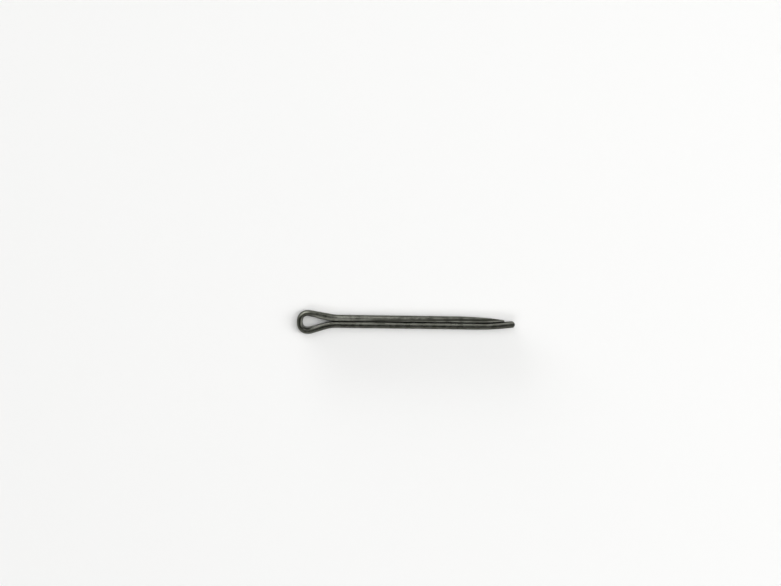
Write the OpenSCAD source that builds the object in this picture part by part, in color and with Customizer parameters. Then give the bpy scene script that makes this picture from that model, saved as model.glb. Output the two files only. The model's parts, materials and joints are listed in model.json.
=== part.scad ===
// Cotter pin (split pin): one length of half-round steel wire, folded flat to flat.
// The fold stands open as a teardrop eye. Below it the two legs lie together as one
// round shank. Their ends are bent a little to one side, the short leg is sheared off
// in a long curve, and the long leg runs past it to a blunt end.
//
// Axes: +X runs along the shank from the eye to the ends, +Y to the short leg's side,
// +Z up from the plane that the eye lies in. The origin is on the shank's axis, at the
// seat under the eye.

/* [Wire] */
// Diameter of the shank, which the two legs make together
shank_d = 2.72; // [2.2:0.02:3.4]
// Hairline gap between the flats of the two legs
leg_gap = 0.06; // [0.04:0.02:0.24]
// Rounding of the wire's long edges, between its flat and its crown
edge_r = 0.27; // [0.15:0.01:0.35]

/* [Eye] */
// Width of the hole in the eye
hole_w = 2.34; // [1.6:0.1:4]
// Slope of the eye's arms against the shank, in degrees, as a mean of the two
arm_slope = 16.5; // [10:0.5:22]
// How much steeper the long leg's arm is than that, so that the eye leans to its side
eye_lean = 4.5; // [0:0.5:6]
// Radius of the wire's flat in the shoulders, where the arms run into the shank
shoulder_r = 9.5; // [4:0.5:16]

/* [Legs] */
// Length of the short leg, from the seat under the eye
short_leg = 35.4; // [22:0.2:60]
// How far the long leg runs past the short one
leg_step = 2.1; // [1:0.1:4]

/* [Ends] */
// Angle that the ends are bent by, to the short leg's side, in degrees
end_bend = 6.5; // [3:0.5:10]
// Length of the bent stretch, back from the short leg's end
bend_run = 5.4; // [3:0.2:9]
// Length of the shear cut along the short leg's crown
cut_run = 9; // [6:0.5:16]
// Thickness that the shear cut leaves at the short leg's end
cut_left = 0.36; // [0.2:0.02:0.5]
// Angle at which the shear cut enters the crown, in degrees
cut_entry = 1.2; // [0.8:0.1:1.6]
// How far the long leg's blunt end bulges
end_bulge = 0.35; // [0.1:0.05:0.5]

/* [Hidden] */
$fn = 72;

steel = "#7b7c75";
// Which side of the split a leg lies on
SHORT_SIDE = 1;
LONG_SIDE = -1;

// Wire
shank_r = shank_d / 2;
flat_y = leg_gap / 2;
wire_t = shank_r - flat_y;
// Centre of an edge's rounding, and where that rounding meets the crown
edge = [flat_y + edge_r, sqrt(pow(shank_r - edge_r, 2) - pow(flat_y + edge_r, 2))];
crown_x = edge.x * shank_r / (shank_r - edge_r);
// How far an edge's rounding stands proud, so that it crosses the flat and the crown
hair = 0.002;
// Bends run into the straight wire by lap, a little inside its skin
lap = 0.04;
bend_inset = 0.004;

// Eye: a round end about eye, straight arms, and shoulders that end at the seat. Each
// arm touches both circles, so eye lies arm_off from the line through the origin that
// slopes as the arm does, and the two arms together fix it.
hole_r = hole_w / 2;
function slope(side) = arm_slope - side * eye_lean;
function arm_off(side) = (flat_y + shoulder_r) * cos(slope(side)) - shoulder_r - hole_r;
off_x = arm_off(SHORT_SIDE) * cos(slope(LONG_SIDE)) + arm_off(LONG_SIDE) * cos(slope(SHORT_SIDE));
off_y = arm_off(SHORT_SIDE) * sin(slope(LONG_SIDE)) - arm_off(LONG_SIDE) * sin(slope(SHORT_SIDE));
eye = [off_x, off_y] / sin(2 * arm_slope);
function arm_len(side) =
    -eye.x * cos(slope(side)) + (side * eye.y - flat_y - shoulder_r) * sin(slope(side));

// Ends: both legs bend about one centre, at bend_r from the split
bend_x = short_leg - bend_run;
bend_r = bend_run / (end_bend * PI / 180);

// Shear cut: an arc from the crown at cut_x down to cut_left above the short leg's flat
cut_x = short_leg - cut_run;
cut_end_x = bend_x + (bend_r - flat_y - cut_left) * sin(end_bend);
cut_end_y = bend_r - (bend_r - flat_y - cut_left) * cos(end_bend);
cut_fall = shank_r - cut_end_y;
cut_chord = norm([cut_end_x - cut_x, cut_fall]);
cut_slope = atan2(cut_fall, cut_end_x - cut_x);
cut_r = cut_chord / 2 / sin(cut_slope - cut_entry);
cut_centre = [cut_x - cut_r * sin(cut_entry), shank_r - cut_r * cos(cut_entry)];

// Blunt end: an arc across the long leg's thickness
end_r = (pow(wire_t / 2, 2) + pow(end_bulge, 2)) / (2 * end_bulge);

// Room that a cutting shape keeps round what it cuts
clear = 1;

// Half-round section with rounded edges, its flat at x = flat_y and its crown at
// x = shank_r, all of it smaller by the inset. The crown is one arc about the shank's
// axis, and each edge is an arc about edge, which overlaps both the flat and the crown.
module wire_section(inset = 0) {
    intersection() {
        circle(shank_r - inset);
        union() {
            translate([flat_y + inset, -edge.y]) square([shank_r, 2 * edge.y]);
            translate([crown_x, -shank_r]) square([shank_r, shank_d]);
        }
    }
    for (side = [-1, 1])
        translate([edge.x, side * edge.y]) circle(edge_r + hair - inset, $fn = 32);
}

// Straight wire of one leg along +X, from x = 0
module straight_wire(length, side) {
    scale([1, side, 1])
        rotate([90, 0, 90]) linear_extrude(length) wire_section();
}

// Wire bent about the Z axis, from the -Y side on through the angle given. Its flat is
// at flat_r from that axis, with the crown outside it (facing 1) or inside it (-1). It
// laps the straight wire before it, and with 2 laps the wire after it too.
module wire_bend(flat_r, angle, facing, laps = 2) {
    lap_angle = lap / flat_r * 180 / PI;
    rotate([0, 0, -90 - lap_angle]) rotate_extrude(angle = angle + laps * lap_angle)
        translate([flat_r - facing * flat_y, 0])
            scale([facing, 1]) wire_section(bend_inset);
}

// Round end of the eye: the wire bent round the hole, from arm to arm
module eye_end() {
    translate(eye) rotate([0, 0, 180 - slope(SHORT_SIDE)])
        wire_bend(hole_r, 180 + 2 * arm_slope, 1);
}

// Arm on one side of the eye, from the round end to the shoulder
module eye_arm(side) {
    scale([1, side, 1]) translate([eye.x, side * eye.y])
        rotate([0, 0, -slope(side)]) translate([0, hole_r - flat_y])
            straight_wire(arm_len(side), SHORT_SIDE);
}

// Shoulder on one side: the wire bent back in line with the shank
module shoulder(side) {
    scale([1, side, 1]) translate([0, flat_y + shoulder_r, 0])
        rotate([0, 0, -slope(side)]) wire_bend(shoulder_r, slope(side), -1);
}

// Bent stretch of a leg. The bend's centre is on the short leg's side.
module bent_wire(side, laps) {
    translate([bend_x, bend_r, 0])
        wire_bend(bend_r - side * flat_y, end_bend, -side, laps);
}

// Turns and moves its children to where the bent stretch ends
module at_bend_end() {
    translate([bend_x, bend_r, 0]) rotate([0, 0, end_bend]) translate([0, -bend_r, 0])
        children();
}

// What the shear takes off the short leg: all that lies outside the arc of the cut
module shear_cut() {
    from_x = cut_centre.x + cut_r * sin(cut_entry / 2);
    translate([0, 0, -shank_d]) linear_extrude(2 * shank_d) difference() {
        translate([from_x, 0]) square([short_leg - from_x + clear, shank_d]);
        translate(cut_centre) circle(cut_r, $fn = 1440);
    }
}

// What the blunt end leaves off the long leg, past an arc across its thickness
module end_cut() {
    translate([leg_step - end_r, -flat_y - wire_t / 2, -shank_d])
        linear_extrude(2 * shank_d) difference() {
            translate([0, -shank_d]) square([end_r + clear, 2 * shank_d]);
            circle(end_r);
        }
}

// Short leg, from the seat to its sheared end
module short_leg() {
    difference() {
        union() {
            straight_wire(bend_x, SHORT_SIDE);
            bent_wire(SHORT_SIDE, 1);
        }
        shear_cut();
    }
}

// Long leg, from the seat to its blunt end
module long_leg() {
    straight_wire(bend_x, LONG_SIDE);
    bent_wire(LONG_SIDE, 2);
    at_bend_end() difference() {
        straight_wire(leg_step, LONG_SIDE);
        end_cut();
    }
}

module cotter_pin() {
    color(steel) {
        eye_end();
        for (side = [LONG_SIDE, SHORT_SIDE]) {
            eye_arm(side);
            shoulder(side);
        }
        short_leg();
        long_leg();
    }
}

cotter_pin();
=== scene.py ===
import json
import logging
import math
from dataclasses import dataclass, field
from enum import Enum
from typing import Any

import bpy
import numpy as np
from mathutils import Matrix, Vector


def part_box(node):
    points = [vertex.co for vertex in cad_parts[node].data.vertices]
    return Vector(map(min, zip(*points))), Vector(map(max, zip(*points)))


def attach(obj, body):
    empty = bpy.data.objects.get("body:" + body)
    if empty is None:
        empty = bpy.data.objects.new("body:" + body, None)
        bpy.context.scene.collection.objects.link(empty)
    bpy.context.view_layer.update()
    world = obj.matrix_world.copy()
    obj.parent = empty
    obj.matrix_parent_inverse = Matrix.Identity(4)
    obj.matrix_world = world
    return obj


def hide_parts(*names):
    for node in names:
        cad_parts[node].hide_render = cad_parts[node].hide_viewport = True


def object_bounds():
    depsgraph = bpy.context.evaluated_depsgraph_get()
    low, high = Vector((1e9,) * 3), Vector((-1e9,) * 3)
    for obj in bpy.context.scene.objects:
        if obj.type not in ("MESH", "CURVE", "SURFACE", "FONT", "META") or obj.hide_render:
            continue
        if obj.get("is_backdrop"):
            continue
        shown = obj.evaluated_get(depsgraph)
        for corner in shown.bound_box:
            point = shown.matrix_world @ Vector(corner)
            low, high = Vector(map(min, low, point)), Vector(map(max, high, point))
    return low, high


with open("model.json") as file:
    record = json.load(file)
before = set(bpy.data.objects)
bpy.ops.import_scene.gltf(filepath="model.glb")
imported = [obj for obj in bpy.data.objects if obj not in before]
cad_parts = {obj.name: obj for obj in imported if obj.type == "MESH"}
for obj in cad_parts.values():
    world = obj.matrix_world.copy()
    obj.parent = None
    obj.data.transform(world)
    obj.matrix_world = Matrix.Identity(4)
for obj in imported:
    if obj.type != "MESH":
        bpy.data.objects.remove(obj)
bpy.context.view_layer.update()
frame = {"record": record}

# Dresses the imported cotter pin: one half-round steel wire, folded flat to flat.
#
# Lengths are in millimetres, and are turned to metres where a mesh is made. Along the
# wire, s is 0 in the middle of the fold, runs up to the short leg's sheared end and down,
# below 0, to the long leg's blunt end. Across the wire, u is the distance out from the
# split between the legs, and v is the height above the plane that the eye lies in. The
# angle round the wire is 0 in the middle of its crown, where v is 0, and a quarter turn
# or just under it on the flat's upper half. Angles are in radians where nothing else is
# said.

log = logging.getLogger("cotter_pin")

MM = 0.001
WIRE_MAP = "wire"
SMOOTH = {"interpolation_type": "SMOOTHSTEP"}
COLOUR = {"data_type": "RGBA"}


def linear(colour: str) -> tuple[float, float, float, float]:
    """Turns an sRGB hex colour into linear light.

    Args:
        colour: the colour, such as "#7b7c75".

    Returns:
        Red, green, blue and an alpha of 1.
    """
    parts = [int(colour[i:i + 2], 16) / 255 for i in (1, 3, 5)]
    light = [c / 12.92 if c <= 0.04045 else ((c + 0.055) / 1.055) ** 2.4 for c in parts]
    return (*light, 1.0)


def smooth_step(x: np.ndarray, start: float, end: float) -> np.ndarray:
    """A rise from 0 at start to 1 at end, level at both, by 3t^2 - 2t^3.

    Args:
        x: where to work it out.
        start: where the rise starts.
        end: where it ends, which may lie below start.

    Returns:
        The rise at each x.
    """
    t = np.clip((x - start) / (end - start), 0.0, 1.0)
    return t * t * (3.0 - 2.0 * t)


def bump(x: np.ndarray, middle: float, half_width: float) -> np.ndarray:
    """A bell of height 1 round middle, exp(-(distance / half width)^2)."""
    return np.exp(-((x - middle) / half_width) ** 2)


# ---------------------------------------------------------------------------- materials


def add_node(tree: bpy.types.NodeTree, kind: str, settings: dict[str, Any] | None = None,
             links: dict[Any, Any] | None = None) -> bpy.types.Node:
    """Adds a node, with its settings and what its sockets take.

    Args:
        tree: the node tree that it goes in.
        kind: the node's type, such as "ShaderNodeBump".
        settings: properties of the node, by name.
        links: socket name or number, and the value or the output that it takes.

    Returns:
        The new node.
    """
    node = tree.nodes.new(kind)
    for name, value in (settings or {}).items():
        setattr(node, name, value)
    for socket, source in (links or {}).items():
        if isinstance(source, bpy.types.NodeSocket):
            tree.links.new(source, node.inputs[socket])
        else:
            node.inputs[socket].default_value = source
    return node


def empty_material(name: str) -> bpy.types.Material:
    """Makes a material with no nodes in it yet.

    Args:
        name: the material's name.

    Returns:
        The material.
    """
    material = bpy.data.materials.new(name)
    material.use_nodes = True
    material.node_tree.nodes.clear()
    return material


@dataclass(frozen=True)
class DrawnSteel:
    """Mild steel wire, drawn half-round between rolls, then folded and handled.

    The rolls leave fine streaks along the wire, so it shines along them as a satin
    grey with long soft lines. It is dull and a little warm from a film of oil and
    oxide, patchy over a millimetre or so, darker where shade is painted on, and lighter
    where it has rubbed and where highlights are painted on.
    """

    name: str = "drawn_steel_wire"
    grey: str = "#5b5c55"
    pale: str = "#707169"
    dull: str = "#474841"
    # the colour of the painted shade
    dirt: str = "#272722"
    # rubbed steel, and the colour of the painted highlights
    rubbed_and_highlight: str = "#96978e"
    roughness: float = 0.27
    streak_roughness: tuple[float, float] = (-0.04, 0.05)
    patch_roughness: float = 0.06
    painted_shade_roughness: float = 0.2
    glance: float = 0.4  # the film keeps the steel from brightening at a glance
    # where a highlight is painted, the steel also brightens at a glance
    rubbed_and_highlight_glance: float = 0.9  # where it has rubbed off, the steel brightens again
    streak_length_mm: float = 7.0
    streak_width_mm: float = 0.16
    streak_depth_mm: float = 0.006
    broad_length_mm: float = 21.0
    broad_width_mm: float = 0.64
    patch_mm: float = 1.5
    pore_mm: float = 0.16  # real pores are finer, and drawn this coarse they still show
    pore_depth_mm: float = 0.008
    patch_shift_mm: tuple[float, float, float] = (-1.3, 9.5, 8.0)

    def make(self) -> bpy.types.Material:
        """Builds the material.

        Returns:
            The material, for a mesh with the wire's UV map and its attributes.
        """
        material = empty_material(self.name)
        tree = material.node_tree
        wire = add_node(tree, "ShaderNodeUVMap", {"uv_map": WIRE_MAP}).outputs["UV"]
        place = add_node(tree, "ShaderNodeTexCoord").outputs["Object"]
        shift = [c * MM for c in self.patch_shift_mm]
        place = add_node(tree, "ShaderNodeMapping", None, {
            "Vector": place, "Location": shift}).outputs[0]
        # Painted shade, and wear with painted highlights, are read from the mesh.
        dirt, worn_and_highlit = (
            add_node(tree, "ShaderNodeAttribute", {"attribute_name": name}).outputs["Fac"]
            for name in ("dirt", "rub"))

        # One unit of the map is a millimetre, along the wire and round it.
        along = add_node(tree, "ShaderNodeMapping", None, {
            "Vector": wire,
            "Scale": (1 / self.streak_length_mm, 1 / self.streak_width_mm, 1)})
        streaks = add_node(tree, "ShaderNodeTexNoise", {"noise_dimensions": "2D"}, {
            "Vector": along.outputs[0], "Scale": 1.0, "Detail": 3.0, "Roughness": 0.6})
        broad = add_node(tree, "ShaderNodeMapping", None, {
            "Vector": wire,
            "Scale": (1 / self.broad_length_mm, 1 / self.broad_width_mm, 1)})
        bands = add_node(tree, "ShaderNodeTexNoise", {"noise_dimensions": "2D"}, {
            "Vector": broad.outputs[0], "Scale": 1.0, "Detail": 1.0})
        patches = add_node(tree, "ShaderNodeTexNoise", None, {
            "Vector": place, "Scale": 1000 / self.patch_mm, "Detail": 4.0,
            "Roughness": 0.55})
        pores = add_node(tree, "ShaderNodeTexNoise", None, {
            "Vector": place, "Scale": 1000 / self.pore_mm, "Detail": 2.0})

        cloud = add_node(tree, "ShaderNodeMapRange", SMOOTH, {
            "Value": patches.outputs["Fac"], "From Min": 0.34, "From Max": 0.66})
        hair = add_node(tree, "ShaderNodeMapRange", SMOOTH, {
            "Value": streaks.outputs["Fac"], "From Min": 0.3, "From Max": 0.7,
            "To Min": 0.25, "To Max": 0.75})
        band = add_node(tree, "ShaderNodeMapRange", SMOOTH, {
            "Value": bands.outputs["Fac"], "From Min": 0.55, "From Max": 0.75,
            "To Max": 0.35})
        broken = add_node(tree, "ShaderNodeMapRange", SMOOTH, {
            "Value": patches.outputs["Fac"], "From Min": 0.4, "From Max": 0.6,
            "To Min": 0.35})
        rub = add_node(tree, "ShaderNodeMath", {"operation": "MULTIPLY"}, {
            0: worn_and_highlit, 1: broken.outputs[0]})
        streaky = add_node(tree, "ShaderNodeMapRange", SMOOTH, {
            "Value": streaks.outputs["Fac"], "From Min": 0.25, "From Max": 0.6,
            "To Min": 0.7})
        # The painted shade, broken up by the streaks.
        streaked_shade = add_node(tree, "ShaderNodeMath", {"operation": "MULTIPLY"}, {
            0: dirt, 1: streaky.outputs[0]})
        tone = add_node(tree, "ShaderNodeMix", COLOUR, {
            "Factor": cloud.outputs[0], "A": linear(self.dull), "B": linear(self.pale)})
        for share, colour in ((hair, self.grey), (band, self.dull),
                              (rub, self.rubbed_and_highlight), (streaked_shade, self.dirt)):
            tone = add_node(tree, "ShaderNodeMix", COLOUR, {
                "Factor": share.outputs[0], "A": tone.outputs["Result"],
                "B": linear(colour)})

        smoothest, roughest = (self.roughness + step for step in self.streak_roughness)
        gloss = add_node(tree, "ShaderNodeMapRange", SMOOTH, {
            "Value": streaks.outputs["Fac"], "From Min": 0.3, "From Max": 0.7,
            "To Min": smoothest, "To Max": roughest})
        gloss = add_node(tree, "ShaderNodeMath", {"operation": "MULTIPLY_ADD"}, {
            0: streaked_shade.outputs[0], 1: self.painted_shade_roughness, 2: gloss.outputs[0]})
        cloud = add_node(tree, "ShaderNodeMapRange", SMOOTH, {
            "Value": patches.outputs["Fac"], "From Min": 0.35, "From Max": 0.65})
        gloss = add_node(tree, "ShaderNodeMath", {"operation": "MULTIPLY_ADD"}, {
            0: cloud.outputs[0], 1: self.patch_roughness, 2: gloss.outputs[0]})

        relief = add_node(tree, "ShaderNodeBump", None, {
            "Height": streaks.outputs["Fac"], "Strength": 0.35,
            "Distance": self.streak_depth_mm * MM})
        relief = add_node(tree, "ShaderNodeBump", None, {
            "Height": pores.outputs["Fac"], "Strength": 0.3,
            "Distance": self.pore_depth_mm * MM, "Normal": relief.outputs[0]})
        glance = add_node(tree, "ShaderNodeMix", COLOUR, {
            "Factor": rub.outputs[0], "A": (self.glance,) * 3 + (1.0,),
            "B": (self.rubbed_and_highlight_glance,) * 3 + (1.0,)})
        steel = add_node(tree, "ShaderNodeBsdfPrincipled", None, {
            "Base Color": tone.outputs["Result"], "Metallic": 1.0,
            "Roughness": gloss.outputs[0], "Specular Tint": glance.outputs["Result"],
            "Normal": relief.outputs[0]})
        add_node(tree, "ShaderNodeOutputMaterial", None, {"Surface": steel.outputs[0]})
        return material


@dataclass(frozen=True)
class ShearedSteel:
    """The same steel where the cropping tool cut it, moving down through the wire.

    The tool leaves a burnished band at the top, with fine lines the way that it moved,
    and below it a grainy, duller band where the last of the steel tore.
    """

    name: str = "sheared_steel"
    burnished: str = "#7b7c77"
    torn: str = "#5a5b56"
    roughness: float = 0.3
    torn_roughness: float = 0.2
    line_mm: float = 0.08
    line_length_mm: float = 1.6
    line_depth_mm: float = 0.008
    grain_mm: float = 0.1
    grain_depth_mm: float = 0.014
    tear_mm: float = 0.7
    tear_wander_mm: float = 1.6
    tear_edge_mm: tuple[float, float] = (0.25, 0.95)

    def make(self) -> bpy.types.Material:
        """Builds the material.

        Returns:
            The material.
        """
        material = empty_material(self.name)
        tree = material.node_tree
        place = add_node(tree, "ShaderNodeTexCoord").outputs["Object"]
        height = add_node(tree, "ShaderNodeSeparateXYZ", None, {0: place}).outputs["Z"]
        down = add_node(tree, "ShaderNodeMapping", None, {
            "Vector": place, "Scale": (1000 / self.line_mm, 1000 / self.line_mm,
                                       1000 / self.line_length_mm)})
        lines = add_node(tree, "ShaderNodeTexNoise", None, {
            "Vector": down.outputs[0], "Scale": 1.0, "Detail": 2.0})
        grain = add_node(tree, "ShaderNodeTexNoise", None, {
            "Vector": place, "Scale": 1000 / self.grain_mm, "Detail": 3.0})
        tear = add_node(tree, "ShaderNodeTexNoise", None, {
            "Vector": place, "Scale": 1000 / self.tear_mm, "Detail": 3.0})

        # The noise, in millimetres, is added to the height, so that the tear wanders.
        border = add_node(tree, "ShaderNodeMath", {"operation": "MULTIPLY_ADD"}, {
            0: tear.outputs["Fac"], 1: self.tear_wander_mm * MM, 2: height})
        low, high = (edge * MM for edge in self.tear_edge_mm)
        torn = add_node(tree, "ShaderNodeMapRange", SMOOTH, {
            "Value": border.outputs[0], "From Min": low, "From Max": high,
            "To Min": 1.0, "To Max": 0.0})
        tone = add_node(tree, "ShaderNodeMix", COLOUR, {
            "Factor": torn.outputs[0], "A": linear(self.burnished),
            "B": linear(self.torn)})
        scored = add_node(tree, "ShaderNodeMapRange", SMOOTH, {
            "Value": lines.outputs["Fac"], "From Min": 0.35, "From Max": 0.7,
            "To Max": 0.5})
        tone = add_node(tree, "ShaderNodeMix", COLOUR, {
            "Factor": scored.outputs[0], "A": tone.outputs["Result"],
            "B": linear(self.torn)})
        gloss = add_node(tree, "ShaderNodeMath", {"operation": "MULTIPLY_ADD"}, {
            0: torn.outputs[0], 1: self.torn_roughness, 2: self.roughness})
        relief = add_node(tree, "ShaderNodeBump", None, {
            "Height": lines.outputs["Fac"], "Strength": 0.5,
            "Distance": self.line_depth_mm * MM})
        grainy = add_node(tree, "ShaderNodeMapRange", SMOOTH, {
            "Value": border.outputs[0], "From Min": low, "From Max": high,
            "To Min": 0.8, "To Max": 0.15})
        relief = add_node(tree, "ShaderNodeBump", None, {
            "Height": grain.outputs["Fac"], "Distance": self.grain_depth_mm * MM,
            "Strength": grainy.outputs[0], "Normal": relief.outputs[0]})
        steel = add_node(tree, "ShaderNodeBsdfPrincipled", None, {
            "Base Color": tone.outputs["Result"], "Metallic": 1.0,
            "Roughness": gloss.outputs[0], "Normal": relief.outputs[0]})
        add_node(tree, "ShaderNodeOutputMaterial", None, {"Surface": steel.outputs[0]})
        return material


# ------------------------------------------------------------------------------ the wire


class Face(Enum):
    """Which finish a part of the wire's skin has, by the number of its material slot."""

    DRAWN = 0
    SHEARED = 1


@dataclass
class HalfRound:
    """Section of the wire: a flat, a round crown and two rounded edges."""

    shank_r: float
    gap: float = 0.06
    edge_r: float = 0.27
    flat_steps: int = 12
    edge_steps: int = 9
    side_steps: int = 20
    top_steps: int = 12
    least_top: float = math.radians(9)
    least_side: float = 0.02

    @property
    def flat_u(self) -> float:
        """How far the flat lies from the split."""
        return self.gap / 2

    @property
    def thickness(self) -> float:
        """From the flat to the top of the crown."""
        return self.shank_r - self.flat_u

    @property
    def edge_turn(self) -> float:
        """Angle, seen from the shank's axis, at which the crown meets an edge."""
        return math.acos((self.flat_u + self.edge_r) / (self.shank_r - self.edge_r))

    def outline(self, top: np.ndarray) -> tuple[np.ndarray, np.ndarray]:
        """Closed outlines of the section, one for each station along the wire.

        Going round: half the flat, one edge's arc about its centre, the crown's arc
        about the shank's axis in a side, a top and another side, the other edge's arc
        and the rest of the flat. The top spans the angle that a cut of height top
        takes off the crown, acos(top / radius), so that the cut's two edges fall on
        columns of the grid. What stands above top is brought down to it.

        Args:
            top: for each station, the height of a cut above the split.

        Returns:
            u and v, each with a row for each station and a column round the wire.
        """
        r = self.shank_r
        turn = self.edge_turn
        centre = (r - self.edge_r) * np.array([math.cos(turn), math.sin(turn)])
        half = np.linspace(0, centre[1], self.flat_steps // 2 + 1)[:-1]
        arc = np.linspace(math.pi, turn, self.edge_steps + 1)[:-1]
        edge_u = centre[0] + self.edge_r * np.cos(arc)
        edge_v = centre[1] + self.edge_r * np.sin(arc)
        cut = np.arccos(np.clip(top / r, -1, 1))
        cut = np.clip(cut, self.least_top, turn - self.least_side)[:, None]
        side = cut + (turn - cut) * np.linspace(1, 0, self.side_steps + 1)[None, :-1]
        over = cut * np.linspace(1, 0, self.top_steps // 2 + 1)[None, :-1]
        crown = np.concatenate([side, over], axis=1)
        rows = np.ones((len(top), 1))
        u = np.concatenate([rows * np.full(half.shape, self.flat_u), rows * edge_u,
                            r * np.cos(crown)], axis=1)
        v = np.concatenate([rows * half, rows * edge_v, r * np.sin(crown)], axis=1)
        u = np.concatenate([u, rows * r, u[:, :0:-1]], axis=1)
        v = np.concatenate([v, rows * 0, -v[:, :0:-1]], axis=1)
        return np.minimum(u, top[:, None]), v

    @property
    def columns(self) -> int:
        """How many points a closed outline has."""
        return 2 * (self.flat_steps // 2 + self.edge_steps + self.side_steps
                    + self.top_steps // 2)

    @property
    def cut_columns(self) -> tuple[int, int]:
        """First and last column of the top, between which a cut lies."""
        before = self.flat_steps // 2 + self.edge_steps + self.side_steps
        return before, before + self.top_steps


@dataclass
class Fold:
    """The line that the middle of the wire's flat follows.

    It runs in stretches of even curvature: half the eye's round end, an arm, a
    shoulder, the shank and the bent end. Each step in the curvature is blurred over a
    short length, because a wire doesn't change its bend at once, and the round end is
    a little squared, which is how wire folds over a small mandrel. The curvature's sum
    is the heading, and the heading's sum is the place.
    """

    section: HalfRound
    seat_to_bend: float
    low: tuple[float, float]
    high: tuple[float, float]
    shoulder_r: float = 9.5
    end_bend: float = math.radians(6.5)
    bend_run: float = 5.4
    short_seat: float = 0.8
    long_seat: float = 0.4
    squareness: float = 0.5
    blur: float = 0.3
    step: float = 0.01
    passes: int = 5

    @property
    def hole_r(self) -> float:
        """Radius of the eye's round end, at the flat."""
        return (self.high[1] - self.low[1]) / 2 - self.section.thickness

    @property
    def eye(self) -> tuple[float, float]:
        """Middle of the eye's round end, from the eye's outer sides."""
        return (self.low[0] + self.section.thickness + self.hole_r,
                (self.high[1] + self.low[1]) / 2)

    @property
    def bend_r(self) -> float:
        """Radius of the bent ends, at the split."""
        return self.bend_run / self.end_bend

    @property
    def leg_step(self) -> float:
        """How far the long leg runs on past the bend, to bring its end to the tip.

        Returns:
            The length of the straight stretch.
        """
        middle = self.section.flat_u + self.section.thickness / 2
        reach = self.seat_to_bend + (self.bend_r + middle) * math.sin(self.end_bend)
        return (self.high[0] - reach) / math.cos(self.end_bend)

    def seat(self, side: int) -> float:
        """Where a shoulder ends. The short leg's runs on a little further."""
        return self.short_seat if side > 0 else self.long_seat

    def arm(self, side: int) -> tuple[float, float]:
        """The straight arm on one side: the tangent from the round end to the shoulder.

        It crosses between the two circles, so with d between their middles it slopes
        by asin((r1 + r2) / d) less the slope of the line between them, and its length
        is sqrt(d^2 - (r1 + r2)^2).

        Args:
            side: 1 for the short leg's side and -1 for the long leg's.

        Returns:
            Its slope against the shank, and its length.
        """
        rise = self.section.flat_u + self.shoulder_r - side * self.eye[1]
        run = self.seat(side) - self.eye[0]
        apart = math.hypot(rise, run)
        radii = self.hole_r + self.shoulder_r
        return (math.asin(radii / apart) - math.atan2(rise, run),
                math.sqrt(apart ** 2 - radii ** 2))

    def half(self, side: int) -> tuple[np.ndarray, np.ndarray, np.ndarray, np.ndarray]:
        """One half of the line, from the fold to a leg's end.

        The blur and the squared end would move the seat and the shank's line. Each
        pass finds by how much, and changes the arm's length and the round end's radius
        to put them back: the arm's end moves by (cos, -sin) of the slope for a longer
        arm, and by (1 + sin, cos) for a greater radius.

        Args:
            side: 1 for the short leg's half and -1 for the long leg's.

        Returns:
            s, x, y and the heading, with y on the leg's own side for both halves.
        """
        slope, arm = self.arm(side)
        sin, cos = math.sin(slope), math.cos(slope)
        flat = self.section.flat_u
        round_r = self.hole_r
        shank = self.seat_to_bend - self.seat(side)
        bend_flat = self.bend_r - side * flat
        for _ in range(self.passes):
            lengths = [round_r * (math.pi / 2 + slope), arm, self.shoulder_r * slope,
                       shank, bend_flat * self.end_bend, self.leg_step if side < 0 else 0]
            ends = np.cumsum(lengths)
            s = np.arange(0, ends[-1] + self.step / 2, self.step)
            square = 1 - self.squareness * np.cos(2 * np.pi * s / ends[0])
            bent = -self.bent_within(s, -ends[0], ends[0]) / round_r * square \
                + self.bent_within(s, ends[1], ends[2]) / self.shoulder_r \
                + self.bent_within(s, ends[3], ends[4]) * side / bend_flat
            heading = math.pi / 2 + self.summed(bent)
            x = self.eye[0] - self.hole_r + self.summed(np.cos(heading))
            y = side * self.eye[1] + self.summed(np.sin(heading))
            middle = np.searchsorted(s, (ends[2] + ends[3]) / 2)
            off_x = np.interp(ends[2], s, x) - self.seat(side)
            off_y = y[middle] - flat
            change = np.linalg.solve([[cos, 1 + sin], [-sin, cos]], [-off_x, -off_y])
            arm, round_r = arm + change[0], round_r + change[1]
            shank += self.seat_to_bend - np.interp(ends[3], s, x)
        return s, x, y, heading

    def bent_within(self, s: np.ndarray, start: float, end: float) -> np.ndarray:
        """1 on the stretch from start to end, with each step blurred to a tanh curve."""
        return (np.tanh((s - start) / self.blur) - np.tanh((s - end) / self.blur)) / 2

    def summed(self, rate: np.ndarray) -> np.ndarray:
        """Running sum of a rate along the line, by the trapezium rule."""
        return np.concatenate([[0], np.cumsum((rate[1:] + rate[:-1]) / 2 * self.step)])

    def line(self) -> dict[str, np.ndarray]:
        """The whole line, from the long leg's end to the short leg's.

        Returns:
            s, and at each s the place x, y, the way along tx, ty and the way out from
            flat to crown nx, ny.
        """
        halves = []
        for side in (-1, 1):
            s, x, y, heading = self.half(side)
            cos, sin = np.cos(heading), np.sin(heading)
            rows = np.stack([side * s, x, side * y, side * cos, sin, -sin, side * cos])
            halves.append(rows[:, ::side] if side > 0 else rows[:, :0:-1])
        names = ("s", "x", "y", "tx", "ty", "nx", "ny")
        return dict(zip(names, np.concatenate(halves, axis=1)))


@dataclass(frozen=True)
class Nick:
    """A small dent in the crown, such as a tool or another pin leaves.

    It is a groove of bell section. At the section's angle it lies s along the wire,
    and it slants by so many millimetres along the wire for each radian round it.
    """

    s: float
    angle: float
    depth: float
    width: float
    reach: float
    slant: float = 0.0

    def depth_at(self, s: np.ndarray, angle: np.ndarray) -> np.ndarray:
        """Depth of the dent at each place on the wire's skin."""
        across = bump(s - self.s - self.slant * (angle - self.angle), 0, self.width)
        return self.depth * across * bump(angle, self.angle, self.reach)


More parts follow.
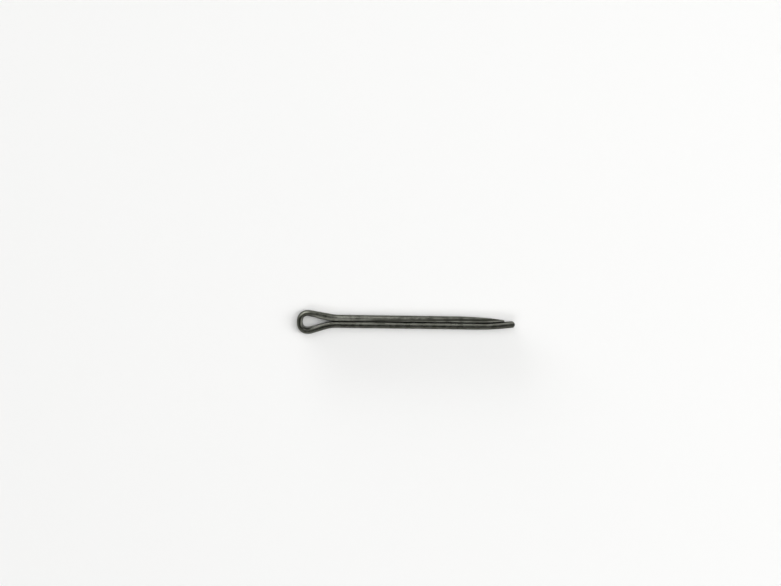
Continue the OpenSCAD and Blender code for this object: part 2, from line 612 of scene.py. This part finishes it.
@dataclass(frozen=True)
class DieLine:
    """A fine groove that the rolls left along the short leg, darkened with painted shade.

    It leaves the leg's upper edge past the seat and wanders up the crown: from start on
    its angle is far + (near - far) exp(-(s - start) / run), in degrees.
    """

    start: float = 9.0
    run: float = 17.0
    near: float = 87.0
    far: float = 56.0
    half_width: float = 0.155
    rise: tuple[float, float] = (10.0, 17.0)
    depth: float = 0.04

    def share(self, s: np.ndarray, angle: np.ndarray) -> np.ndarray:
        """How deep in the groove each place on the wire's skin lies.

        Args:
            s: place along the wire.
            angle: angle round the wire.

        Returns:
            From 0, off the groove, to 1 at its bottom.
        """
        past = np.clip(s - self.start, 0, None)
        mark = np.radians(self.far + (self.near - self.far) * np.exp(-past / self.run))
        return bump(angle, mark, self.half_width) * smooth_step(s, *self.rise)


@dataclass(frozen=True)
class Roll:
    """How far the wire rolled about its own middle as it was folded, in degrees.

    The long leg's arm of the eye rolls in two steps, so that its flat looks up, and is
    true again past the fold. The short leg's arm rolls a little, one way and then the
    other. Both legs sway by a fraction of a degree.
    """

    long_arm: float = 13.0
    first_step: tuple[float, float] = (-9.5, -6.8)
    second_step: tuple[float, float] = (-5.4, -2.2)
    true_again: tuple[float, float] = (0.6, -2.4)
    short_arm: float = 6.0
    one_way: tuple[float, float] = (2.6, 0.9)
    other_way: tuple[float, float] = (5.8, 1.7)
    sway: float = 0.6
    sway_length: float = 4.3
    legs: tuple[float, float] = (9.0, 14.0)

    def at(self, s: np.ndarray) -> np.ndarray:
        """The roll at each station.

        Args:
            s: the stations.

        Returns:
            The roll in radians.
        """
        lower = smooth_step(s, *self.first_step) + smooth_step(s, *self.second_step)
        lower = lower / 2 * smooth_step(s, *self.true_again)
        upper = bump(s, *self.one_way) / 2 - bump(s, *self.other_way)
        legs = np.sin(s / self.sway_length) * smooth_step(np.abs(s), *self.legs)
        roll = self.long_arm * lower + self.short_arm * upper + self.sway * legs
        return np.radians(roll)


@dataclass(frozen=True)
class Burrs:
    """Fine burrs that the cropping tool pushed out along its cuts' lower edges.

    The long cut's lower edge lies at the crown's angle -acos(cut height / radius), and
    its burr fades out where that angle is still narrow. The other burr stands out past
    the blunt end, on its lower edge. Their height varies along the edge by a product of
    two sines.
    """

    height: float = 0.05
    half_width: float = 0.05
    narrow: tuple[float, float] = (0.3, 0.7)
    low_edge: tuple[float, float] = (-1.0, -1.3)
    reach: float = 0.12
    cut_waves: tuple[float, float] = (5.3, 2.1)
    end_waves: tuple[float, float] = (7.0, 3.1)

    def ragged(self, place: np.ndarray, waves: tuple[float, float]) -> np.ndarray:
        """A burr's height at each place along its edge."""
        sway = np.sin(waves[0] * place) * np.sin(waves[1] * place + 1)
        return self.height * (0.7 + 0.3 * sway)

    def on_cut(self, s: np.ndarray, angle: np.ndarray, edge: np.ndarray) -> np.ndarray:
        """How far the skin stands out along the long cut.

        Args:
            s: place of each ring along the wire.
            angle: angle round the wire at each point.
            edge: half the angle that the cut spans at each ring.

        Returns:
            The height of the burr at each point.
        """
        height = self.ragged(s, self.cut_waves) * smooth_step(edge, *self.narrow)
        return bump(angle, -edge[:, None], self.half_width) * height[:, None]

    def on_end(self, past_end: np.ndarray, v: np.ndarray,
               angle: np.ndarray) -> np.ndarray:
        """How far the skin stands out past the blunt end.

        Args:
            past_end: how far each ring lies from the end's rim, along the leg.
            v: height above the eye's plane at each point.
            angle: angle round the wire at each point.

        Returns:
            The height of the burr at each point.
        """
        height = self.ragged(angle, self.end_waves) * smooth_step(v, *self.low_edge)
        return height * smooth_step(past_end, self.reach, 0.0)[:, None]


@dataclass(frozen=True)
class PaintedShade:
    """Where shade is painted on the wire as a dark colour.

    It is painted in the split between the legs, where shade falls, and along the die
    line. Inside the fold it lies in a dark line of painted shade, which swings from the
    crown towards the flat on the long leg's side, and swings less and widens on the short
    leg's.
    """

    legs: float = 0.95
    legs_meet: tuple[float, float] = (6.5, 9.0)
    legs_depth: float = 0.16
    fold: float = 0.9
    fold_angle: float = 1.02
    long_swing: float = 0.48
    long_side: tuple[float, float] = (-0.5, -1.3)
    short_swing: float = 0.2
    short_side: tuple[float, float] = (0.3, 1.5)
    fold_width: float = 0.16
    widening: float = 0.14
    fold_start: tuple[float, float] = (-2.8, -1.9)
    fold_end: tuple[float, float] = (3.4, 2.0)

    def share(self, s: np.ndarray, depth: np.ndarray, angle: np.ndarray,
              die_line: np.ndarray) -> np.ndarray:
        """How much shade is painted on the wire.

        Args:
            s: place along the wire.
            depth: height above the flat.
            angle: angle round the wire.
            die_line: from 0, off the die line, to 1 at its bottom.

        Returns:
            From 0, none, to 1 at each point.
        """
        # Painted shade in the split between the legs, where shade falls, and along the die
        # line.
        between = smooth_step(depth, self.legs_depth, 0.0) \
            * smooth_step(np.abs(s), *self.legs_meet)
        on_short = smooth_step(s, *self.short_side)
        # A painted line of shade inside the fold.
        middle = self.fold_angle + self.short_swing * on_short \
            + self.long_swing * smooth_step(s, *self.long_side)
        within = bump(angle, middle, self.fold_width + self.widening * on_short) \
            * smooth_step(s, *self.fold_start) * smooth_step(s, *self.fold_end)
        return np.clip(self.legs * (between + die_line) + self.fold * within, 0, 1)


@dataclass(frozen=True)
class WearAndHighlight:
    """Where the steel is made bright, by wear and by painted highlights.

    It is worn a little on its edges. A highlight is painted on the flat inside the eye,
    and in a soft stripe along the short leg, about 60 degrees round from its crown.
    """

    edge: float = 0.15
    edge_past: float = 0.06
    edge_width: float = 0.10
    flat: float = 0.9
    flat_depth: tuple[float, float] = (0.12, 0.02)
    flat_start: tuple[float, float] = (-7.6, -7.0)
    flat_end: tuple[float, float] = (1.4, 0.4)
    stripe: float = 0.65
    stripe_angle: float = 1.09
    stripe_swing: float = -0.12
    stripe_swings: tuple[float, float] = (11.0, 22.0)
    stripe_width: float = 0.12
    stripe_start: tuple[float, float] = (5.5, 8.0)
    stripe_end: tuple[float, float] = (36.0, 25.0)

    def share(self, s: np.ndarray, depth: np.ndarray, angle: np.ndarray,
              edge_turn: float) -> np.ndarray:
        """How bright the wire is worn, and painted with highlights.

        Args:
            s: place along the wire.
            depth: height above the flat.
            angle: angle round the wire.
            edge_turn: the angle at which the crown meets an edge.

        Returns:
            From 0, as drawn, to 1 at each point.
        """
        # A little wear on the edges.
        edge = bump(np.abs(angle), edge_turn + self.edge_past, self.edge_width)
        # A painted highlight on the flat inside the eye.
        flat = smooth_step(depth, *self.flat_depth) \
            * smooth_step(s, *self.flat_start) * smooth_step(s, *self.flat_end)
        # A painted highlight in a soft stripe along the short leg.
        middle = self.stripe_angle \
            + self.stripe_swing * smooth_step(s, *self.stripe_swings)
        stripe = bump(angle, middle, self.stripe_width) \
            * smooth_step(s, *self.stripe_start) * smooth_step(s, *self.stripe_end)
        return np.clip(self.edge * edge + self.flat * flat + self.stripe * stripe, 0, 1)


@dataclass
class CotterPin:
    """The pin's one piece: the folded wire, with its cut ends, its roll and its marks."""

    section: HalfRound
    fold: Fold
    roll: Roll = Roll()
    die_line: DieLine = DieLine()
    burrs: Burrs = Burrs()
    # painted shade, and wear with painted highlights
    dirt: PaintedShade = PaintedShade()
    rub: WearAndHighlight = WearAndHighlight()
    nicks: tuple[Nick, ...] = ()
    cut_run: float = 9.0
    cut_left: float = 0.36
    cut_entry: float = math.radians(1.2)
    end_bulge: float = 0.35
    end_lean: float = 0.9
    thinning: float = 0.15
    thin_start: tuple[float, float] = (-1.5, -0.4)
    thin_end: tuple[float, float] = (4.0, 1.2)
    roll_centre: float = 0.45
    rim: float = 0.06
    rim_rings: int = 6
    face_rings: int = 8
    fine: float = 0.075
    coarse: float = 0.15
    fine_eye: tuple[float, float] = (12.0, 9.0)
    fine_cut: tuple[float, float] = (12.0, 9.0)
    fine_end: tuple[float, float] = (5.0, 3.0)
    cut_hair: float = 0.004
    sharp_angle: float = math.radians(18)

    def stations(self, s_ends: tuple[float, float]) -> np.ndarray:
        """Places along the wire for the rings of the mesh.

        They lie close together round the eye and near the ends, and wider apart along
        the shank: equal steps of the sum of 1 / spacing.

        Args:
            s_ends: the least and the greatest s.

        Returns:
            s of each ring, which includes both ends.
        """
        s = np.linspace(*s_ends, 20001)
        near = smooth_step(np.abs(s), *self.fine_eye) \
            + smooth_step(s_ends[1] - s, *self.fine_cut) \
            + smooth_step(s - s_ends[0], *self.fine_end)
        spacing = self.coarse + (self.fine - self.coarse) * np.clip(near, 0, 1)
        total = np.concatenate([[0], np.cumsum((1 / spacing)[1:] * np.diff(s))])
        return np.interp(np.linspace(0, total[-1], int(total[-1]) + 1), total, s)

    def cut_height(self, line: dict[str, np.ndarray], s: np.ndarray) -> np.ndarray:
        """Height above the split at which the shear's arc crosses each section.

        The arc enters the crown at a small angle and ends cut_left above the flat at
        the short leg's end. The height is where the line out from the split meets that
        circle: -b + sqrt(b^2 - c), with b and c the usual ones of the quadratic.

        Args:
            line: the wire's line.
            s: the stations.

        Returns:
            The height at each station, above the whole section where nothing is cut.
        """
        f, r = self.fold, self.section.shank_r
        start = np.array([f.seat_to_bend + f.bend_run - self.cut_run, r])
        radius = f.bend_r - self.section.flat_u - self.cut_left
        end = np.array([f.seat_to_bend + radius * math.sin(f.end_bend),
                        f.bend_r - radius * math.cos(f.end_bend)])
        chord = math.dist(start, end)
        slope = math.atan2(start[1] - end[1], end[0] - start[0])
        arc_r = chord / 2 / math.sin(slope - self.cut_entry)
        down = np.array([-math.sin(self.cut_entry), -math.cos(self.cut_entry)])
        centre = start + arc_r * down
        x, y, nx, ny = (np.interp(s, line["s"], line[k]) for k in ("x", "y", "nx", "ny"))
        # The line is the flat's, so the split lies flat_u back from it.
        x, y = x - nx * self.section.flat_u, y - ny * self.section.flat_u
        b = nx * (x - centre[0]) + ny * (y - centre[1])
        c = (x - centre[0]) ** 2 + (y - centre[1]) ** 2 - arc_r ** 2
        height = -b + np.sqrt(np.maximum(b * b - c, 0))
        return np.where((s > 0) & (x > start[0]), height, 2 * r)

    def skin(self) -> dict[str, np.ndarray]:
        """Points of the wire's skin on a grid of rings along it and columns round it.

        Each section is thinned from the inside at the fold, marked by the die line, the
        nicks and the burrs, rolled about its middle and then set on the line. Near the
        long leg's end the rings lean into an arc, by the drop of a circle across the
        thickness. The rings of the caps run straight on from the line's ends.

        Returns:
            The grid's x, y, z; s and the height of the cut at each ring; and u, v, the
            angle round, the dirt and the rub at each point.
        """
        line = self.fold.line()
        s = self.stations((line["s"][0], line["s"][-1]))
        top = self.cut_height(line, s)
        s, u, v, top = self.capped(s, *self.section.outline(top), top)
        flat, thick = self.section.flat_u, self.section.thickness
        angle = np.arctan2(v, u)
        die_line = self.die_line.share(s[:, None], angle)

        thinned = self.thinning * smooth_step(s, *self.thin_start) \
            * smooth_step(s, *self.thin_end)
        u_in = u + thinned[:, None] * (1 - (u - flat) / thick)
        depth = self.die_line.depth * die_line
        depth += sum(nick.depth_at(s[:, None], angle) for nick in self.nicks)
        cut_edge = np.arccos(np.clip(top / self.section.shank_r, -1, 1))
        u_in = u_in - depth * np.cos(angle) + self.burrs.on_cut(s, angle, cut_edge)
        v_in = v - depth * np.sin(angle)

        turn = self.roll.at(s)[:, None]
        middle = flat + self.roll_centre * thick
        out = middle + (u_in - middle) * np.cos(turn) + v_in * np.sin(turn)
        up = v_in * np.cos(turn) - (u_in - middle) * np.sin(turn)

        end_r = (thick ** 2 / 4 + self.end_bulge ** 2) / (2 * self.end_bulge)
        offset = u - flat - thick / 2
        drop = end_r - np.sqrt(end_r ** 2 - offset ** 2)
        along = drop * smooth_step(s, s[0] + self.end_lean, s[0])[:, None]
        along = along - self.burrs.on_end(s - s[0] - self.rim, v, angle)
        along = along + (s - np.clip(s, line["s"][0], line["s"][-1]))[:, None]

        x, y, tx, ty, nx, ny = (np.interp(s, line["s"], line[k])[:, None]
                                for k in ("x", "y", "tx", "ty", "nx", "ny"))
        out = out - flat
        # Painted shade, and wear with painted highlights, at each point.
        dirt = self.dirt.share(s[:, None], u - flat, angle, die_line)
        rub = self.rub.share(s[:, None], u - flat, angle, self.section.edge_turn)
        return {"x": x + nx * out + tx * along, "y": y + ny * out + ty * along, "z": up,
                "s": s, "top": top, "u": u, "v": v, "angle": angle,
                "dirt": dirt, "rub": rub * (1 - dirt)}

    def capped(self, s: np.ndarray, u: np.ndarray, v: np.ndarray,
               top: np.ndarray) -> tuple[np.ndarray, ...]:
        """Adds rings that close both ends, drawn in towards the section's middle.

        The first of them round the rim: they draw in by 1 - cos and step out along the
        wire by sin of a quarter turn, times the rim's radius. The rest lie across the
        end and draw in evenly, and the last is a single point.

        Args:
            s: the stations.
            u: distance out from the split, for each station and column.
            v: height above the eye's plane, for each station and column.
            top: the height of the cut at each station.

        Returns:
            The same four, with the caps' rows before and after.
        """
        quarter = np.linspace(0, math.pi / 2, self.rim_rings + 1)[1:]
        share = np.linspace(1, 0, self.face_rings + 1)[1:, None]
        ahead = self.rim * np.concatenate([np.sin(quarter), np.ones(self.face_rings)])
        ends = []
        for row in (0, -1):
            middle = np.array([[u[row].mean()], [v[row].mean()]])
            ring = np.stack([u[row], v[row]]) - middle
            drawn_in = self.rim * (1 - np.cos(quarter))[:, None]
            left = 1 - drawn_in / np.linalg.norm(ring, axis=0)
            left = np.concatenate([left, left[-1] * share])
            ends.append(middle[:, None] + ring[:, None] * left)
        first, last = ends[0][:, ::-1], ends[1]
        held = np.full(len(ahead), 2 * self.section.shank_r)
        return (np.concatenate([s[0] - ahead[::-1], s, s[-1] + ahead]),
                np.concatenate([first[0], u, last[0]]),
                np.concatenate([first[1], v, last[1]]),
                np.concatenate([held, top, held]))

    def build(self) -> bpy.types.Object:
        """Makes the mesh object, with its map, its attributes and its two finishes.

        Returns:
            The object, at the origin, in metres.
        """
        grid = self.skin()
        points = np.stack([grid["x"], grid["y"], grid["z"]], axis=2)
        body = points[1:-1]
        rows, columns = body.shape[:2]
        verts = np.concatenate([body.reshape(-1, 3), points[0, :1], points[-1, :1]])

        ring = np.arange(columns)
        after = (ring + 1) % columns
        near = (np.arange(rows - 1) * columns)[:, None]
        quads = np.stack([near + ring, near + ring + columns, near + after + columns,
                          near + after], axis=2).reshape(-1, 4)
        foot = (rows - 1) * columns
        poles = (np.full(columns, len(verts) - 2), np.full(columns, len(verts) - 1))
        fans = np.concatenate([np.stack([poles[0], ring, after], axis=1),
                               np.stack([poles[1], foot + after, foot + ring], axis=1)])

        mesh = bpy.data.meshes.new("cotter_pin_wire")
        mesh.from_pydata((verts * MM).tolist(), [], quads.tolist() + fans.tolist())
        self.add_map(mesh, grid)
        # The painted shade, and the wear with painted highlights, as attributes.
        self.add_attribute(mesh, "dirt", grid["dirt"])
        self.add_attribute(mesh, "rub", grid["rub"])
        mesh.polygons.foreach_set("material_index", self.finishes(grid))
        mesh.polygons.foreach_set("use_smooth", np.ones(len(mesh.polygons), bool))
        mesh.set_sharp_from_angle(angle=self.sharp_angle)
        mesh.update()
        piece = bpy.data.objects.new("cotter_pin_wire", mesh)
        bpy.context.scene.collection.objects.link(piece)
        return piece

    def finishes(self, grid: dict[str, np.ndarray]) -> np.ndarray:
        """Which finish each face has: sheared over the cut and the caps, else drawn.

        Args:
            grid: what skin() gives.

        Returns:
            The finish's number for each face: the quads ring by ring, then both fans.
        """
        caps = self.rim_rings + self.face_rings - 1
        columns = grid["u"].shape[1]
        finish = np.full((len(grid["s"]) - 3, columns), Face.DRAWN.value)
        low, high = self.section.cut_columns
        cut = (grid["top"] < self.section.shank_r - self.cut_hair)[1:-2]
        finish[cut, low:high] = Face.SHEARED.value
        finish[:caps] = Face.SHEARED.value
        finish[-caps:] = Face.SHEARED.value
        fans = np.full(2 * columns, Face.SHEARED.value)
        return np.concatenate([finish.reshape(-1), fans]).astype(np.int32)

    def add_map(self, mesh: bpy.types.Mesh, grid: dict[str, np.ndarray]) -> None:
        """Adds the wire's map: millimetres along the wire, and round it from the flat.

        Args:
            mesh: the mesh.
            grid: what skin() gives.
        """
        closed = [np.concatenate([grid[k], grid[k][:, :1]], axis=1) for k in ("u", "v")]
        steps = np.hypot(*np.diff(closed, axis=2))
        around = np.pad(np.cumsum(steps, axis=1), ((0, 0), (1, 0)))
        along = np.broadcast_to(grid["s"][:, None], around.shape)
        uv = np.stack([along, around], axis=2)
        one, two = uv[1:-2], uv[2:-1]
        quads = np.stack([one[:, :-1], two[:, :-1], two[:, 1:], one[:, 1:]], axis=2)
        fans = [np.stack([uv[0, :-1], uv[1, :-1], uv[1, 1:]], axis=1),
                np.stack([uv[-1, :-1], uv[-2, 1:], uv[-2, :-1]], axis=1)]
        layer = mesh.uv_layers.new(name=WIRE_MAP)
        values = np.concatenate([quads.reshape(-1), *(fan.reshape(-1) for fan in fans)])
        layer.uv.foreach_set("vector", values.astype(np.float32))

    def add_attribute(self, mesh: bpy.types.Mesh, name: str, values: np.ndarray) -> None:
        """Adds a value at each point of the mesh.

        Args:
            mesh: the mesh.
            name: the attribute's name.
            values: the value at each point of the grid.
        """
        held = np.concatenate([values[1:-1].reshape(-1), values[0, :1], values[-1, :1]])
        mesh.attributes.new(name, "FLOAT", "POINT").data.foreach_set(
            "value", held.astype(np.float32))

    def dress(self, piece: bpy.types.Object) -> None:
        """Gives the piece its finishes and its place in the model.

        Args:
            piece: what build() gives.
        """
        for finish in (DrawnSteel(), ShearedSteel()):
            piece.data.materials.append(finish.make())
        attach(piece, "root")
        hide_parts("cotter_pin")


# ------------------------------------------------------------------- the studio and view


@dataclass
class Lamp:
    """A soft lamp: a rectangle that looks at the pin's middle.

    It stands at an angle round from +X and at a height above the floor, both in degrees.
    Its distance, width and length are in metres, and its strength is its radiance.
    """

    name: str
    turn: float
    height: float
    width: float
    length: float
    strength: float
    distance: float = 1.0

    def make(self, target: Vector) -> None:
        """Adds the lamp.

        Args:
            target: the point that it looks at, in metres.
        """
        turn, height = math.radians(self.turn), math.radians(self.height)
        level = math.cos(height)
        back = Vector((math.cos(turn) * level, math.sin(turn) * level, math.sin(height)))
        data = bpy.data.lights.new(self.name, "AREA")
        data.shape = "RECTANGLE"
        data.size = self.width
        data.size_y = self.length
        # A lamp's radiance is its power over pi times its area.
        data.energy = self.strength * math.pi * self.width * self.length
        lamp = bpy.data.objects.new(self.name, data)
        lamp.location = target + back * self.distance
        lamp.rotation_mode = "QUATERNION"
        lamp.rotation_quaternion = (-back).to_track_quat("-Z", "Y")
        lamp.visible_camera = False
        bpy.context.scene.collection.objects.link(lamp)


@dataclass
class Studio:
    """A plain pale floor under soft lamps, and the camera straight above.

    The floor's half width is in metres. The camera's aim and the width of the field
    that it sees on the floor are in millimetres, and its turn is in degrees.
    """

    floor_half: float = 2.5
    floor_colour: str = "#f2f2f1"
    floor_roughness: float = 0.9
    floor_specular: float = 0.1
    surround: float = 0.12
    aim: tuple[float, float] = (11.56, 6.08)
    field_mm: float = 163.7
    lens: float = 72.0
    turn: float = 0.77
    lamps: list[Lamp] = field(default_factory=list)

    def make_floor(self, height: float) -> None:
        """Adds the floor.

        Args:
            height: its height in metres, at the piece's lowest point.
        """
        h = self.floor_half
        mesh = bpy.data.meshes.new("floor")
        corners = [(-h, -h, height), (h, -h, height), (h, h, height), (-h, h, height)]
        mesh.from_pydata(corners, [], [(0, 1, 2, 3)])
        floor = bpy.data.objects.new("floor", mesh)
        bpy.context.scene.collection.objects.link(floor)
        material = empty_material("matt_paper")
        tree = material.node_tree
        paper = add_node(tree, "ShaderNodeBsdfPrincipled", None, {
            "Base Color": linear(self.floor_colour), "Roughness": self.floor_roughness,
            "Specular IOR Level": self.floor_specular})
        add_node(tree, "ShaderNodeOutputMaterial", None, {"Surface": paper.outputs[0]})
        mesh.materials.append(material)
        floor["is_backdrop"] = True

    def make_surround(self) -> None:
        """Lights the world plainly and dimly, so that the steel mirrors a dim room."""
        world = bpy.data.worlds.new("studio")
        bpy.context.scene.world = world
        world.use_nodes = True
        light = world.node_tree.nodes["Background"]
        light.inputs["Color"].default_value = (1, 1, 1, 1)
        light.inputs["Strength"].default_value = self.surround

    def make_camera(self) -> None:
        """Adds the camera, straight above its aim and turned a little."""
        data = bpy.data.cameras.new("camera")
        data.lens = self.lens
        data.sensor_width = 36.0
        camera = bpy.data.objects.new("camera", data)
        distance = self.field_mm * self.lens / data.sensor_width
        camera.location = (self.aim[0] * MM, self.aim[1] * MM, distance * MM)
        camera.rotation_euler = (0, 0, math.radians(self.turn))
        data.clip_start = 0.01
        data.clip_end = 10
        bpy.context.scene.collection.objects.link(camera)
        bpy.context.scene.camera = camera


def main() -> None:
    """Builds the pin's piece and its studio."""
    logging.basicConfig(level=logging.INFO, format="%(name)s: %(message)s")
    scene = bpy.context.scene
    scene.view_settings.view_transform = "Standard"
    shank = frame["record"]["mounts"][0]["dims"]
    low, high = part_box("cotter_pin")
    section = HalfRound(shank_r=shank["r_mm"])
    fold = Fold(section, shank["length_mm"], tuple(low / MM)[:2], tuple(high / MM)[:2])
    nicks = (
        Nick(3.25, math.radians(30), depth=0.045, width=0.15, reach=0.22, slant=0.4),
        Nick(4.1, math.radians(40), depth=0.03, width=0.13, reach=0.16, slant=-0.3),
        Nick(13.8, math.radians(70), depth=0.05, width=0.16, reach=0.25, slant=-1.3),
    )
    pin = CotterPin(section, fold, nicks=nicks)
    piece = pin.build()
    pin.dress(piece)
    log.info("%s: %d faces", piece.name, len(piece.data.polygons))

    lamps = [
        Lamp("low_side", turn=123, height=6, width=1.12, length=0.22, strength=13.2),
        Lamp("key", turn=-5, height=53, width=0.42, length=0.99, strength=4.4),
        Lamp("back", turn=-113, height=54, width=0.78, length=0.34, strength=2.6),
        Lamp("top", turn=73, height=71, width=1.49, length=1.01, strength=1.05),
    ]
    studio = Studio(lamps=lamps)
    studio.make_camera()
    studio.make_floor(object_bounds()[0].z)
    studio.make_surround()
    middle = (Vector(low) + Vector(high)) / 2
    for lamp in studio.lamps:
        lamp.make(middle)


if __name__ == "__main__":
    main()
